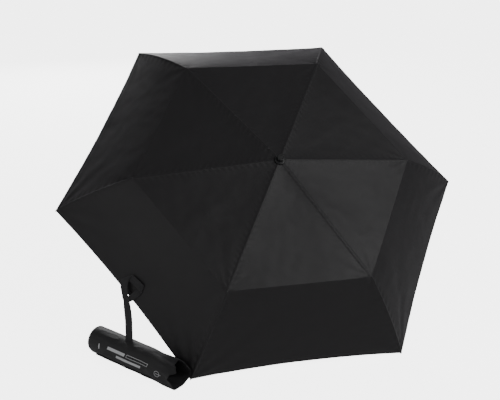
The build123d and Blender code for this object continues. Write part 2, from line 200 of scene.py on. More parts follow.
def makeHandlingGroup():
    # broad, soft marks that handling and folding leave: creases, worn patches and a little dust
    tree = bpy.data.node_groups.new("handlingMarks", "ShaderNodeTree")
    groupSocket(tree, "Vector", "INPUT", "NodeSocketVector")
    groupSocket(tree, "Patch Scale", "INPUT", value=9.0)
    groupSocket(tree, "Crease Scale", "INPUT", value=30.0)
    groupSocket(tree, "Patches", "OUTPUT")
    groupSocket(tree, "Creases", "OUTPUT")
    groupSocket(tree, "Dust", "OUTPUT")
    start = tree.nodes.new("NodeGroupInput")
    end = tree.nodes.new("NodeGroupOutput")
    patches = addNode(tree, "ShaderNodeTexNoise", {"Vector": start.outputs["Vector"],
                                                   "Scale": start.outputs["Patch Scale"],
                                                  "Detail": 4.0, "Roughness": 0.55})
    creases = addNode(tree, "ShaderNodeTexNoise", {"Vector": start.outputs["Vector"],
                                                   "Scale": start.outputs["Crease Scale"],
                                                  "Detail": 6.0, "Roughness": 0.6, "Distortion": 0.8},
                                                  noise_type="RIDGED_MULTIFRACTAL")
    dust = addNode(tree, "ShaderNodeTexNoise", {"Vector": start.outputs["Vector"], "Scale": 420.0,
                                                "Detail": 2.0})
    tree.links.new(patches.outputs["Fac"], end.inputs["Patches"])
    tree.links.new(creases.outputs["Fac"], end.inputs["Creases"])
    specks = addNode(tree, "ShaderNodeMapRange", {"Value": dust.outputs["Fac"], "From Min": 0.68,
                                                  "From Max": 0.8})
    tree.links.new(specks.outputs[0], end.inputs["Dust"])
    return tree


def makeStitchGroup():
    # a run of stitches: Across is the distance from the stitch line, Along the distance on it, both in metres
    tree = bpy.data.node_groups.new("stitchRun", "ShaderNodeTree")
    groupSocket(tree, "Across", "INPUT")
    groupSocket(tree, "Along", "INPUT")
    groupSocket(tree, "Pitch", "INPUT", value=0.0026)
    groupSocket(tree, "Width", "INPUT", value=0.0006)
    groupSocket(tree, "Mask", "OUTPUT")
    start = tree.nodes.new("NodeGroupInput")
    end = tree.nodes.new("NodeGroupOutput")
    near = mathNode(tree, "DIVIDE", mathNode(tree, "ABSOLUTE", start.outputs["Across"]),
                    start.outputs["Width"])
    line = mathNode(tree, "SUBTRACT", 1.0, near)
    line = addNode(tree, "ShaderNodeClamp", {0: line}).outputs[0]
    step = mathNode(tree, "FRACT", mathNode(tree, "DIVIDE", start.outputs["Along"], start.outputs["Pitch"]))
    dash = mathNode(tree, "SINE", mathNode(tree, "MULTIPLY", step, math.pi))
    dash = addNode(tree, "ShaderNodeMapRange", {"Value": dash, "From Min": 0.35, "From Max": 0.8}).outputs[0]
    tree.links.new(mathNode(tree, "MULTIPLY", line, dash), end.inputs["Mask"])
    return tree


def makeGrainGroup():
    # fine grain for metal and plastic: drawn lines along one direction and a fine pitted texture
    tree = bpy.data.node_groups.new("surfaceGrain", "ShaderNodeTree")
    groupSocket(tree, "Vector", "INPUT", "NodeSocketVector")
    groupSocket(tree, "Line Scale", "INPUT", value=900.0)
    groupSocket(tree, "Pit Scale", "INPUT", value=1500.0)
    groupSocket(tree, "Lines", "OUTPUT")
    groupSocket(tree, "Pits", "OUTPUT")
    groupSocket(tree, "Wear", "OUTPUT")
    start = tree.nodes.new("NodeGroupInput")
    end = tree.nodes.new("NodeGroupOutput")
    lines = addNode(tree, "ShaderNodeTexNoise", {"Vector": start.outputs["Vector"],
                                                 "Scale": start.outputs["Line Scale"],
                                                "Detail": 2.0})
    pits = addNode(tree, "ShaderNodeTexVoronoi", {"Vector": start.outputs["Vector"],
                                                  "Scale": start.outputs["Pit Scale"]})
    wear = addNode(tree, "ShaderNodeTexNoise", {"Vector": start.outputs["Vector"], "Scale": 70.0,
                                                "Detail": 5.0})
    tree.links.new(lines.outputs["Fac"], end.inputs["Lines"])
    tree.links.new(pits.outputs["Distance"], end.inputs["Pits"])
    tree.links.new(wear.outputs["Fac"], end.inputs["Wear"])
    return tree


groups = {
    "weave": makeWeaveGroup(),
    "handling": makeHandlingGroup(),
    "stitches": makeStitchGroup(),
    "grain": makeGrainGroup(),
}


def startMaterial(name):
    material = bpy.data.materials.new(name)
    material.use_nodes = True
    return material, material.node_tree, material.node_tree.nodes["Principled BSDF"]


def placeGroup(tree, key, inputs):
    node = tree.nodes.new("ShaderNodeGroup")
    node.node_tree = groups[key]
    for name, value in inputs.items():
        if hasattr(value, "is_output"):
            tree.links.new(value, node.inputs[name])
        else:
            node.inputs[name].default_value = value
    return node


def mixColours(tree, factor, first, second):
    node = addNode(tree, "ShaderNodeMix", None, data_type="RGBA")
    for key, value in ((0, factor), (6, first), (7, second)):
        if hasattr(value, "is_output"):
            tree.links.new(value, node.inputs[key])
        else:
            node.inputs[key].default_value = value
    return node.outputs[2]


def clothMaterial(name, look):
    # coated polyester cloth; its UV map is in metres, U along the rib and V across from the seam
    material, tree, shader = startMaterial(name)
    cloth = addNode(tree, "ShaderNodeUVMap", None, uv_map="cloth").outputs[0]
    solid = addNode(tree, "ShaderNodeTexCoord").outputs["Object"]
    weave = placeGroup(tree, "weave", {"Vector": cloth, "Threads": look["threads"], "Unevenness": 0.5})
    marks = placeGroup(tree, "handling", {"Vector": solid, "Patch Scale": 7.0,
                                          "Crease Scale": look["creaseScale"]})
    shade = mixColours(tree, weave.outputs["Shade"], look["dark"], look["light"])
    patchy = mathNode(tree, "MULTIPLY", marks.outputs["Patches"], look["patch"])
    shade = mixColours(tree, patchy, shade, look["worn"])
    shade = mixColours(tree, mathNode(tree, "MULTIPLY", marks.outputs["Dust"], look["dust"]), shade,
                       (0.25, 0.25, 0.26, 1))
    height = mathNode(tree, "MULTIPLY", weave.outputs["Height"], look["weaveDepth"])
    height = mathNode(tree, "ADD", height, mathNode(tree, "MULTIPLY", marks.outputs["Creases"],
                                                    look["creaseDepth"]))
    if look.get("stitchLines"):
        split = addNode(tree, "ShaderNodeSeparateXYZ", {0: cloth})
        across = mathNode(tree, "ABSOLUTE", split.outputs["Y"])
        thread = None
        for offset, pitch in look["stitchLines"]:
            run = placeGroup(tree, "stitches", {"Across": mathNode(tree, "SUBTRACT", across, offset),
                                                "Along": split.outputs["X"], "Pitch": pitch})
            thread = run.outputs["Mask"] if thread is None else mathNode(tree, "MAXIMUM", thread,
                                                                         run.outputs["Mask"])
        hem = addNode(tree, "ShaderNodeAttribute", None, attribute_name="hemDistance").outputs["Fac"]
        run = placeGroup(tree, "stitches", {"Across": mathNode(tree, "SUBTRACT", hem, look["hemStitch"]),
                                            "Along": split.outputs["Y"], "Pitch": 0.003})
        thread = mathNode(tree, "MAXIMUM", thread, run.outputs["Mask"])
        shade = mixColours(tree, mathNode(tree, "MULTIPLY", thread, 0.6), shade, look["thread"])
        height = mathNode(tree, "ADD", height, mathNode(tree, "MULTIPLY", thread, 0.0003))
    back = addNode(tree, "ShaderNodeNewGeometry").outputs["Backfacing"]
    tree.links.new(mixColours(tree, back, shade, look["worn"]), shader.inputs["Base Color"])
    rough = addNode(tree, "ShaderNodeMapRange", {"Value": marks.outputs["Patches"],
                                                 "To Min": look["rough"][0],
                                                "To Max": look["rough"][1]})
    tree.links.new(rough.outputs[0], shader.inputs["Roughness"])
    bump = addNode(tree, "ShaderNodeBump", {"Height": height, "Strength": 0.6, "Distance": 1.0})
    tree.links.new(bump.outputs[0], shader.inputs["Normal"])
    shader.inputs["Specular IOR Level"].default_value = look["specular"]
    shader.inputs["Sheen Weight"].default_value = look["sheen"]
    shader.inputs["Sheen Roughness"].default_value = 0.45
    shader.inputs["Sheen Tint"].default_value = look["sheenTint"]
    return material


canopyLook = {
    "threads": 1400.0, "creaseScale": 16.0, "dark": (0.0065, 0.006, 0.0068, 1),
    "light": (0.0145, 0.0135, 0.0148, 1),
    "worn": (0.022, 0.0205, 0.0222, 1), "patch": 0.45, "dust": 0.06, "weaveDepth": 0.00012,
    "creaseDepth": 0.0004,
    "stitchLines": ((0.0026, 0.0028),), "hemStitch": 0.007, "thread": (0.035, 0.034, 0.037, 1),
    "rough": (0.42, 0.58),
    "specular": 0.42, "sheen": 0.12, "sheenTint": (0.85, 0.8, 0.9, 1),
}
sleeveLook = {
    "threads": 1400.0, "creaseScale": 42.0, "dark": (0.006, 0.006, 0.0066, 1),
    "light": (0.014, 0.0135, 0.0148, 1),
    "worn": (0.032, 0.0315, 0.0325, 1), "patch": 0.6, "dust": 0.05, "weaveDepth": 0.00012,
    "creaseDepth": 0.0006,
    "rough": (0.48, 0.62), "specular": 0.5, "sheen": 0.15, "sheenTint": (0.85, 0.85, 0.9, 1),
}


def metalMaterial(name, colour, rough, stretch=(1, 1, 1), tint=None):
    material, tree, shader = startMaterial(name)
    solid = addNode(tree, "ShaderNodeTexCoord").outputs["Object"]
    lay = addNode(tree, "ShaderNodeMapping", {"Vector": solid, "Scale": stretch})
    grain = placeGroup(tree, "grain", {"Vector": lay.outputs[0], "Line Scale": 900.0, "Pit Scale": 700.0})
    worn = tint or tuple(0.75 * channel for channel in colour[:3]) + (1,)
    wearMask = addNode(tree, "ShaderNodeMapRange", {"Value": grain.outputs["Wear"], "From Min": 0.45,
                                                    "From Max": 0.75})
    tree.links.new(mixColours(tree, wearMask.outputs[0], colour, worn), shader.inputs["Base Color"])
    roughness = addNode(tree, "ShaderNodeMapRange", {"Value": grain.outputs["Lines"], "To Min": rough[0],
                                                     "To Max": rough[1]})
    tree.links.new(roughness.outputs[0], shader.inputs["Roughness"])
    bump = addNode(tree, "ShaderNodeBump", {"Height": grain.outputs["Lines"], "Strength": 0.25,
                                            "Distance": 0.00008})
    tree.links.new(bump.outputs[0], shader.inputs["Normal"])
    shader.inputs["Metallic"].default_value = 1.0
    return material


def plasticMaterial(name, colour, scuffed, rough, pitDepth=0.00006, pitScale=1500.0):
    material, tree, shader = startMaterial(name)
    solid = addNode(tree, "ShaderNodeTexCoord").outputs["Object"]
    grain = placeGroup(tree, "grain", {"Vector": solid, "Pit Scale": pitScale})
    scuffs = addNode(tree, "ShaderNodeMapRange", {"Value": grain.outputs["Wear"], "From Min": 0.5,
                                                  "From Max": 0.8})
    tree.links.new(mixColours(tree, scuffs.outputs[0], colour, scuffed), shader.inputs["Base Color"])
    roughness = addNode(tree, "ShaderNodeMapRange", {"Value": grain.outputs["Wear"], "To Min": rough[0],
                                                     "To Max": rough[1]})
    tree.links.new(roughness.outputs[0], shader.inputs["Roughness"])
    bump = addNode(tree, "ShaderNodeBump", {"Height": grain.outputs["Pits"], "Strength": 0.5,
                                            "Distance": pitDepth})
    tree.links.new(bump.outputs[0], shader.inputs["Normal"])
    return material


def webbingMaterial(name):
    # narrow woven tape: fine ribs across it, and a pair of edge cords
    material, tree, shader = startMaterial(name)
    tape = addNode(tree, "ShaderNodeUVMap", None, uv_map="cloth").outputs[0]
    split = addNode(tree, "ShaderNodeSeparateXYZ", {0: tape})
    ribs = mathNode(tree, "SINE", mathNode(tree, "MULTIPLY", split.outputs["X"], 2 * math.pi / 0.0011))
    cords = mathNode(tree, "SINE", mathNode(tree, "MULTIPLY", split.outputs["Y"], 2 * math.pi / 0.0024))
    weave = mathNode(tree, "MULTIPLY_ADD", mathNode(tree, "MULTIPLY", ribs, cords), 0.5, 0.5)
    marks = placeGroup(tree, "handling", {"Vector": tape, "Patch Scale": 60.0, "Crease Scale": 120.0})
    shade = mixColours(tree, weave, (0.007, 0.007, 0.0078, 1), (0.024, 0.023, 0.026, 1))
    tree.links.new(mixColours(tree, mathNode(tree, "MULTIPLY", marks.outputs["Patches"], 0.4), shade,
                              (0.036, 0.035, 0.038, 1)), shader.inputs["Base Color"])
    bump = addNode(tree, "ShaderNodeBump", {"Height": weave, "Strength": 0.7, "Distance": 0.0002})
    tree.links.new(bump.outputs[0], shader.inputs["Normal"])
    rough = addNode(tree, "ShaderNodeMapRange", {"Value": weave, "To Min": 0.62, "To Max": 0.8})
    tree.links.new(rough.outputs[0], shader.inputs["Roughness"])
    shader.inputs["Sheen Weight"].default_value = 0.2
    return material


materials = {
    "canopy": clothMaterial("black canopy cloth", canopyLook),
    "sleeve": clothMaterial("black sleeve cloth", sleeveLook),
    "webbing": webbingMaterial("black webbing"),
    "steel": metalMaterial("drawn steel tube", (0.62, 0.62, 0.63, 1), (0.2, 0.34)),
    "ribSteel": metalMaterial("black nickel rib", (0.16, 0.16, 0.17, 1), (0.28, 0.42)),
    "tip": metalMaterial("bright rib tip", (0.86, 0.86, 0.87, 1), (0.12, 0.2)),
    "wire": metalMaterial("zinc wire", (0.66, 0.67, 0.68, 1), (0.3, 0.42)),
    "plastic": plasticMaterial("black moulded plastic", (0.014, 0.014, 0.015, 1), (0.03, 0.03, 0.031, 1),
                               (0.3, 0.46)),
    "grip": plasticMaterial("soft touch grip", (0.012, 0.012, 0.013, 1), (0.03, 0.029, 0.03, 1), (0.6, 0.78),
                            0.0002, 900.0),
    "thread": plasticMaterial("grey thread", (0.05, 0.05, 0.052, 1), (0.09, 0.09, 0.092, 1), (0.6, 0.75)),
}
print("materials done", len(materials))


# carried-over CAD nodes

nodeFinishes = (
    ("upper_tube", "steel"), ("middle_tube", "steel"), ("lower_tube", "steel"), ("crown_wire", "wire"),
    ("runner_wire", "wire"), ("crown", "plastic"), ("runner", "plastic"), ("release_button", "plastic"),
    ("handle_plug", "plastic"), ("handle_grip", "grip"), ("top_cap", "plastic"), ("rib_tip", "tip"),
    ("inner_pin", "wire"), ("middle_pin", "wire"), ("inner_rib", "ribSteel"), ("middle_rib", "ribSteel"),
    ("outer_rib", "ribSteel"), ("stretcher", "ribSteel"),
)
for nodeName, node in frame["nodes"].items():
    for start, finish in nodeFinishes:
        if nodeName.startswith(start):
            node.material_slots[0].material = materials[finish]


# canopy

canopy = {
    "radius": 0.480,
    "bend": 0.320,
    "firstJoint": 0.1653,      # distance out of the ribs' first joints
    "hole": 0.0068,
    "top": 0.006,              # height of the cloth's apex over the crown pins
    "slope": 0.1328,
    "cornerHeight": -0.1648,
    "bulge": 0.008,
    "hemBow": 0.0085,
    "thickness": 0.0004,
    "seamRise": 0.0005,
    "seamHalfWidth": 0.0034,
    "innerSag": 0.0030,
    "outerSag": 0.0045,
    "puckerDepth": 0.00035,
    "tipFoldDepth": 0.0016,
    "tipFoldReach": 0.075,
    "columns": 34,
    "seamColumns": (0.0, 0.0012, 0.0024, 0.0034, 0.0046, 0.0068, 0.0100),
}
outerRun = canopy["radius"] - canopy["bend"]
bendHeight = canopy["top"] - canopy["slope"] * canopy["bend"]
outerFall = bendHeight - canopy["cornerHeight"]
outerChord = math.hypot(outerRun, outerFall)


def ribLine(reach):
    # distance out and height of the cloth over a rib
    if reach <= canopy["bend"]:
        return reach, canopy["top"] - canopy["slope"] * reach
    share = (reach - canopy["bend"]) / outerRun
    lift = canopy["bulge"] * 4 * share * (1 - share)
    out = reach + lift * outerFall / outerChord
    return out, bendHeight - outerFall * share + lift * outerRun / outerChord


def ribPoint(direction, reach):
    out, height = ribLine(reach)
    return crownCentre + direction * out + shaftUp * height


def panelPoint(index, side, reach, share):
    # share runs across the panel from this rib, 0, to its neighbour, 1
    neighbour = ribDirections[(index - side) % 6]
    return ribPoint(ribDirections[index], reach).lerp(ribPoint(neighbour, reach), share)


def panelNormal(index, side, reach, share):
    step = 0.0015
    along = panelPoint(index, side, reach + step, share) - panelPoint(index, side, reach - step, share)
    across = panelPoint(index, side, reach, share + 0.01) - panelPoint(index, side, reach, share - 0.01)
    normal = along.cross(across).normalized()
    return normal if normal.dot(shaftUp) > 0 else -normal


def clothLift(index, side, reach, share):
    # how far the cloth stands above the ruled surface between the ribs
    fromRib = share * reach
    middle = 4 * share * (1 - share)
    if reach <= canopy["bend"]:
        lift = -canopy["innerSag"] * middle * math.sin(math.pi * reach / canopy["bend"])
    else:
        t = (reach - canopy["bend"]) / outerRun
        lift = -canopy["outerSag"] * middle * math.sin(math.pi * min(1.0, t * 0.85))
    lift += canopy["seamRise"] * (1 - smoothStep((fromRib - canopy["seamHalfWidth"] + 0.001) / 0.0016))
    # puckers along the seam
    phase = 2 * math.pi * (reach / 0.0135 + 0.35 * noise.noise(Vector((index * 3.1, side, reach * 30))))
    lift += (canopy["puckerDepth"] * math.sin(phase) * math.exp(-((fromRib - 0.005) / 0.010) ** 2)
             * smoothStep(fromRib / 0.004))
    # folds that fan out from the canopy's corner, on both of its edges
    for nearCorner, cornerIndex in ((share, index), (1 - share, index - side)):
        run = canopy["radius"] - reach
        width = nearCorner * reach
        distance = math.hypot(run * 1.25, width)
        turn = math.atan2(width, run * 1.25 + 1e-6)
        fade = math.exp(-distance / canopy["tipFoldReach"]) * smoothStep(distance / 0.012)
        wobble = 1.5 * noise.noise(Vector((cornerIndex % 6 * 5.3, turn * 1.7, distance * 14)))
        lift += (canopy["tipFoldDepth"] * fade * math.sin(turn * 10 + wobble + cornerIndex % 6)
                 * math.sin(2 * turn))
        # the same, weaker, round the bend of the rib
        run = canopy["bend"] - reach
        distance = math.hypot(run, width)
        turn = math.atan2(width, run + 1e-6)
        fade = math.exp(-distance / 0.035) * smoothStep(distance / 0.008)
        lift += 0.0007 * fade * math.sin(turn * 8 + cornerIndex % 6 * 1.3) * smoothStep(width / 0.006)
    return lift


def clothPoint(index, side, reach, share):
    t = max(0.0, (reach - canopy["bend"]) / outerRun)
    bow = canopy["hemBow"] * 4 * share * (1 - share) * t * t
    bowed = reach - bow * 0.9
    point = panelPoint(index, side, bowed, share)
    normal = panelNormal(index, side, bowed, share)
    lift = clothLift(index, side, bowed, share)
    drift = 0.0007 * noise.noise(point * 16) + 0.0004 * noise.noise(point * 45)
    drift *= smoothStep(share * reach / 0.03)
    return point + normal * (lift + drift)


def columnShare(column, reach):
    # columns crowd at the seam and open out to the middle of the panel
    half = 0.5 * reach
    fixed = canopy["seamColumns"]
    squeeze = min(1.0, half / 0.03)
    if column < len(fixed):
        return fixed[column] * squeeze / reach
    start = fixed[-1] * squeeze
    part = (column - len(fixed) + 1) / (canopy["columns"] - len(fixed) + 1)
    return (start + (half - start) * part) / reach


zones = {
    "inner": {"body": "inner_rib", "from": canopy["hole"], "to": canopy["firstJoint"], "rows": 44,
              "keep": 0.03,
              "clear": 0.0034},
    "middle": {"body": "middle_rib", "from": canopy["firstJoint"], "to": canopy["bend"], "rows": 44,
               "keep": 0.018,
               "clear": 0.0034},
    "outer": {"body": "outer_rib", "from": canopy["bend"], "to": canopy["radius"], "rows": 58, "keep": 0.03,
              "clear": 0.0},
}


def makeCanopyPiece(index, zoneName, side):
    # the cloth on one side of a rib's seam, out to the middle of the panel, carried by its rib
    zone = zones[zoneName]
    number = index + 1
    columns = canopy["columns"]
    name = f"canopy_{zoneName}_{number}_{'left' if side > 0 else 'right'}"
    bm = bmesh.new()
    uvLayer = bm.loops.layers.uv.new("cloth")
    hemLayer = bm.verts.layers.float.new("hemDistance")
    bmesh.ops.create_grid(bm, x_segments=columns, y_segments=zone["rows"], size=1.0)
    flat = {}
    for vert in bm.verts:
        column = round((vert.co.x + 1) / 2 * columns)
        part = (vert.co.y + 1) / 2
        reach = zone["from"] + (zone["to"] - zone["from"]) * part
        share = columnShare(column, reach)
        vert.co = clothPoint(index, side, reach, share)
        vert[hemLayer] = canopy["radius"] - reach
        flat[vert] = (reach, side * share * reach)
    for face in bm.faces:
        for loop in face.loops:
            loop[uvLayer].uv = flat[loop.vert]
    middleFace = min(bm.faces, key=lambda face: (face.calc_center_median() - ribPoint(ribDirections[index],
                                                                                      zone["to"])).length)
    middleFace.normal_update()
    if middleFace.normal.dot(shaftUp) < 0:
        bmesh.ops.reverse_faces(bm, faces=bm.faces)
    for edge in bm.edges:
        edge.smooth = not edge.is_boundary
    for face in bm.faces:
        face.smooth = True
    mesh = bpy.data.meshes.new(name)
    bm.to_mesh(mesh)
    bm.free()
    mesh.materials.append(materials["canopy"])
    piece = bpy.data.objects.new(name, mesh)
    scene.collection.objects.link(piece)
    wall = piece.modifiers.new("cloth", "SOLIDIFY")
    wall.thickness = canopy["thickness"]
    wall.offset = -1
    body = f"{zone['body']}_{number}"
    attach(piece, body)
    along = (ribPoint(ribDirections[index], zone["to"]) - ribPoint(ribDirections[index],
                                                                   zone["from"])).normalized()
    across = panelPoint(index, side, zone["to"], 0.5) - ribPoint(ribDirections[index], zone["to"])
    across = (across - along * across.dot(along)).normalized()
    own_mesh(piece)
    meanWidth = (zone["from"] + zone["to"]) / 4
    run = (Vector(ribLine(zone["to"])) - Vector(ribLine(zone["from"]))).length
    width = zone["to"] / 2
    area = run * math.cos(math.asin(min(1.0, 0.5 * (zone["to"] - zone["from"]) / run))) * meanWidth
    return piece, width, run, area


for index in range(6):
    for zoneName, zone in zones.items():
        for side in (1, -1):
            piece, width, run, area = makeCanopyPiece(index, zoneName, side)
            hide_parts("canopy")
print("canopy done")


# tacks that tie the cloth to the ribs

tacks = {"places": (0.037, 0.150), "length": 0.0042, "thread": 0.00028, "turns": 3}


def makeTacks(index):
    bm = bmesh.new()
    direction = ribDirections[index]
    across = hingeAxes[index]
    for reach in tacks["places"]:
        centre = ribPoint(direction, reach) + shaftUp * (canopy["seamRise"] + 0.0001)
        for turn in range(tacks["turns"]):
            shift = (turn - (tacks["turns"] - 1) / 2) * tacks["thread"] * 2.1
            place = centre + direction * shift
            basis = Matrix((direction, shaftUp, across)).transposed().to_4x4()
            loop = bmesh.ops.create_cone(bm, cap_ends=True, segments=8, radius1=tacks["thread"],
                                         radius2=tacks["thread"],
                                         depth=tacks["length"], matrix=Matrix.Translation(place) @ basis)
            ends = [v for v in loop["verts"] if abs((v.co - place).dot(across)) > tacks["length"] * 0.4]
            bmesh.ops.translate(bm, verts=ends, vec=-shaftUp * tacks["thread"] * 0.8)
    bmesh.ops.recalc_face_normals(bm, faces=bm.faces)
    for face in bm.faces:
        face.smooth = True
    mesh = bpy.data.meshes.new(f"seam_tacks_{index + 1}")
    bm.to_mesh(mesh)
    bm.free()
    mesh.materials.append(materials["thread"])
    piece = bpy.data.objects.new(mesh.name, mesh)
    scene.collection.objects.link(piece)
    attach(piece, f"inner_rib_{index + 1}")
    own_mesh(piece)


for index in range(6):
    makeTacks(index)
print("tacks done")


# meshes swept from a grid

def makeSwept(name, rows, columns, pointAt, material, wrap=True, spot=None):
    # a grid of rows along and columns around, carried onto pointAt(along, around), both from 0 to 1
    bm = bmesh.new()
    uvLayer = bm.loops.layers.uv.new("cloth")
    bmesh.ops.create_grid(bm, x_segments=columns, y_segments=rows, size=1.0)
    flat = {vert: ((vert.co.y + 1) / 2, (vert.co.x + 1) / 2) for vert in bm.verts}
    for face in bm.faces:
        for loop in face.loops:
            loop[uvLayer].uv = spot(*flat[loop.vert]) if spot else flat[loop.vert]
        face.smooth = True
    for vert in bm.verts:
        vert.co = pointAt(*flat[vert])
    if wrap:
        bmesh.ops.remove_doubles(bm, verts=bm.verts, dist=1e-6)
    for edge in bm.edges:
        edge.smooth = not edge.is_boundary
    mesh = bpy.data.meshes.new(name)
    bm.to_mesh(mesh)
    bm.free()
    mesh.materials.append(material)
    piece = bpy.data.objects.new(name, mesh)
    scene.collection.objects.link(piece)
    return piece


def turnOutward(piece, centre):
    # faces of a closed or nearly closed piece are turned away from its middle line
    bm = bmesh.new()
    bm.from_mesh(piece.data)
    total = sum((face.calc_center_median() - centre(face.calc_center_median())).dot(face.normal)
                * face.calc_area() for face in bm.faces)
    if total < 0:
        bmesh.ops.reverse_faces(bm, faces=bm.faces)
    bm.to_mesh(piece.data)
    bm.free()


def smoothThrough(stations, where):
    # a smooth curve through rows of numbers; where runs from 0 to the number of stations less one
    last = len(stations) - 1
    first = min(last - 1, max(0, int(where)))
    t = min(1.0, max(0.0, where - first))
    before, start, end, after = (stations[min(last, max(0, first + k))] for k in (-1, 0, 1, 2))
    weights = (-0.5 * t + t * t - 0.5 * t ** 3, 1 - 2.5 * t * t + 1.5 * t ** 3,
               0.5 * t + 2 * t * t - 1.5 * t ** 3, -0.5 * t * t + 0.5 * t ** 3)
    return [sum(w * row[k] for w, row in zip(weights, (before, start, end,
                                                       after))) for k in range(len(start))]


# sleeve

sleeve = {
    "yaw": math.radians(-52.6),
    "radius": 0.0284,
    "seamTurn": math.radians(25),      # from straight down to the sewn edge at the near side
    "pinch": 0.0032,
    "thickness": 0.0007,
    "rows": 150,
    "columns": 150,
    # length of the cloth at angles round the mouth, from the sewn edge over the near side and the top
    "mouth": ((0, 0.2440), (30, 0.2370), (58, 0.2290), (85, 0.2350), (108, 0.2470), (128, 0.2400),
              (152, 0.2270),
              (182, 0.2250), (212, 0.2350), (242, 0.2440), (272, 0.2460), (305, 0.2450), (340, 0.2440),
              (360, 0.2440)),
    "flange": 0.0062,
}
endLow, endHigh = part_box("sleeve_end")
sleeveCentre = (endLow + endHigh) / 2
sleeveAlong = Vector((math.cos(sleeve["yaw"]), math.sin(sleeve["yaw"]), 0))
sleeveFar = Vector((-math.sin(sleeve["yaw"]), math.cos(sleeve["yaw"]), 0))
up = Vector((0, 0, 1))


def mouthLength(angle):
    degrees = math.degrees(angle) % 360
    table = sleeve["mouth"]
    for (first, start), (second, end) in zip(table, table[1:]):
        if first <= degrees <= second:
            part = (degrees - first) / (second - first)
            return start + (end - start) * (1 - math.cos(math.pi * part)) / 2
    return table[0][1]


def sleevePoint(along, around):
    angle = 2 * math.pi * around
    reach = along * mouthLength(angle)
    turn = sleeve["seamTurn"] + angle
    side, rise = -math.sin(turn), -math.cos(turn)
    nearSeam = min(angle, 2 * math.pi - angle)
    openness = smoothStep((reach - 0.150) / 0.075)
    radius = sleeve["radius"] + (sleeve["pinch"] + 0.003 * openness) * math.exp(-(nearSeam / 0.30) ** 2)
    fromEnd = smoothStep(reach / 0.02)
    ring = Vector((side * 1.4, rise * 1.4, reach * 22))
    radius += fromEnd * 0.0009 * noise.noise(ring + Vector((4, 0, 0)))
    crease = noise.noise(Vector((side * 2.2, rise * 2.2, reach * 34)) + Vector((0, 7, 0)))
    radius += fromEnd * 0.0004 * (0.5 - abs(crease) * 2.4)
    # the mouth sags and folds
    radius += openness * (0.0018 * math.sin(4 * angle + reach * 60)
                          - 0.0042 * math.exp(-((angle - 2.75) / 0.35) ** 2))
    radius -= openness * 0.0026 * math.exp(-((angle - 1.85) / 0.28) ** 2)
    height = sleeveCentre.z + radius * rise * (1 - 0.10 * openness) - 0.0022 * openness
    height = 0.0004 + max(0.0, height) if height > 0.001 else 0.0009
    return (sleeveCentre + sleeveAlong * (reach - 0.0004)
            + sleeveFar * (radius * side * (1 + 0.05 * openness)) + up * (height - sleeveCentre.z))


def printMask(tree, along, around, low, high, slant=0.35, hollow=0.0):
    # a slanted bar of print; hollow leaves only its outline of that width
    leaned = mathNode(tree, "MULTIPLY_ADD", around, -slant, along)
    mask = None
    for coordinate, start, end in ((leaned, low[0] - slant * low[1], high[0] - slant * low[1]),
                                   (around, low[1], high[1])):
        middle, half = (start + end) / 2, (end - start) / 2
        gap = mathNode(tree, "ABSOLUTE", mathNode(tree, "SUBTRACT", coordinate, middle))
        part = mathNode(tree, "SUBTRACT", half, gap)
        mask = part if mask is None else mathNode(tree, "MINIMUM", mask, part)
    filled = mathNode(tree, "GREATER_THAN", mask, 0.0)
    if hollow:
        filled = mathNode(tree, "SUBTRACT", filled, mathNode(tree, "GREATER_THAN", mask, hollow))
    return filled


def addPrint(material):
    # plain bars and a ring, printed in pale ink on the near side
    tree = material.node_tree
    shader = tree.nodes["Principled BSDF"]
    cloth = addNode(tree, "ShaderNodeUVMap", None, uv_map="cloth").outputs[0]
    split = addNode(tree, "ShaderNodeSeparateXYZ", {0: cloth})
    along, around = split.outputs["X"], split.outputs["Y"]
    marks = [
        printMask(tree, along, around, (0.0320, 0.0300), (0.0348, 0.0420), 0.0),
        printMask(tree, along, around, (0.0570, 0.0370), (0.1080, 0.0440)),
        printMask(tree, along, around, (0.1130, 0.0370), (0.1730, 0.0440), hollow=0.0009),
        printMask(tree, along, around, (0.0830, 0.0245), (0.1530, 0.0315)),
    ]
    middle = addNode(tree, "ShaderNodeVectorMath", {0: cloth, 1: (0.2010, 0.0320, 0)}, operation="DISTANCE")
    off = mathNode(tree, "ABSOLUTE", mathNode(tree, "SUBTRACT", middle.outputs["Value"], 0.0065))
    marks.append(mathNode(tree, "LESS_THAN", off, 0.0005))
    marks.append(printMask(tree, along, around, (0.1975, 0.0314), (0.2120, 0.0326), 0.0))
    ink = marks[0]
    for mark in marks[1:]:
        ink = mathNode(tree, "MAXIMUM", ink, mark)
    weave = placeGroup(tree, "weave", {"Vector": cloth, "Threads": 1400.0, "Unevenness": 0.6})
    ink = mathNode(tree, "MULTIPLY", ink, addNode(tree, "ShaderNodeMapRange",
                                                  {"Value": weave.outputs["Shade"],
                                                                             "To Min": 0.75,
                                                                             "To Max": 1.0}).outputs[0])
    base = shader.inputs["Base Color"].links[0].from_socket
    tree.links.new(mixColours(tree, ink, base, (0.72, 0.73, 0.75, 1)), shader.inputs["Base Color"])


addPrint(materials["sleeve"])


def axisPoint(point):
    return sleeveCentre + sleeveAlong * (point - sleeveCentre).dot(sleeveAlong)


girth = 2 * math.pi * sleeve["radius"]
sleeveCloth = makeSwept("sleeve_cloth", sleeve["rows"], sleeve["columns"], sleevePoint, materials["sleeve"],
                        spot=lambda along, around: (along * mouthLength(2 * math.pi * around),
                                                    around * girth))
turnOutward(sleeveCloth, axisPoint)
wall = sleeveCloth.modifiers.new("cloth", "SOLIDIFY")
wall.thickness = sleeve["thickness"]
wall.offset = -1
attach(sleeveCloth, "sleeve")
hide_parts("sleeve_body")


